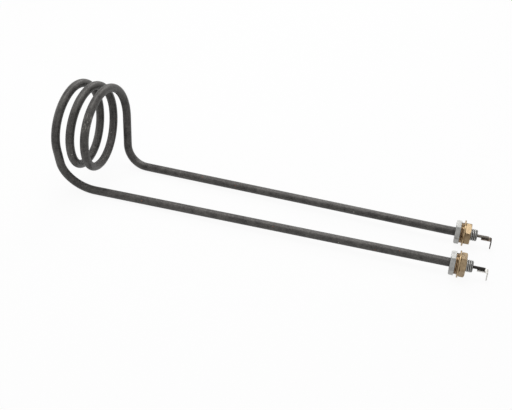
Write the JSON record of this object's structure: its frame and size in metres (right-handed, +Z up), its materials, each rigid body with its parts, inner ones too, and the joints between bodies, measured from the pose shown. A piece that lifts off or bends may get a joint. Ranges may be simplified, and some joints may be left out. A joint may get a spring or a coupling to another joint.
{
  "type": "tubular heating element",
  "caption": "Tubular heating element: a steel tube wound into an open coil, with long legs, threaded wall bushes and push-on terminal tabs, for warming air.",
  "frame": {"origin": "midway between the axes of the threaded bushes, on the plane where their hexagon heads meet the appliance wall", "axes": "+X along the bushes towards the terminals, +Y from the near leg to the far leg, +Z up from the legs to the coil's side"},
  "size_m": [0.4499, 0.0939, 0.1221],
  "materials": {
    "sheath_steel": "annealed dark grey, satin",
    "magnesia": "compacted mineral powder",
    "wire_alloy": "drawn nickel chromium wire",
    "pin_steel": "dark drawn steel",
    "bead_ceramic": "fired unglazed ceramic",
    "seal_silicone": "cured silicone",
    "bush_steel": "zinc plated",
    "ring_brass": "turned",
    "washer_brass": "stamped",
    "nut_brass": "machined",
    "tab_steel": "tinned strip"
  },
  "bodies": {
    "root": {"sheath": "sheath_steel", "magnesia_filling": "magnesia", "resistance_coil": "wire_alloy", "terminal_pin_near": "pin_steel", "ceramic_bead_near": "bead_ceramic", "end_seal_near": "seal_silicone", "threaded_bush_near": "bush_steel", "sealing_ring_inner_near": "ring_brass", "sealing_ring_outer_near": "ring_brass", "flat_washer_near": "washer_brass", "hexagon_nut_near": "nut_brass", "terminal_tab_near": "tab_steel", "terminal_pin_far": "pin_steel", "ceramic_bead_far": "bead_ceramic", "end_seal_far": "seal_silicone", "threaded_bush_far": "bush_steel", "sealing_ring_inner_far": "ring_brass", "sealing_ring_outer_far": "ring_brass", "flat_washer_far": "washer_brass", "hexagon_nut_far": "nut_brass", "terminal_tab_far": "tab_steel"}
  },
  "joints": []
}
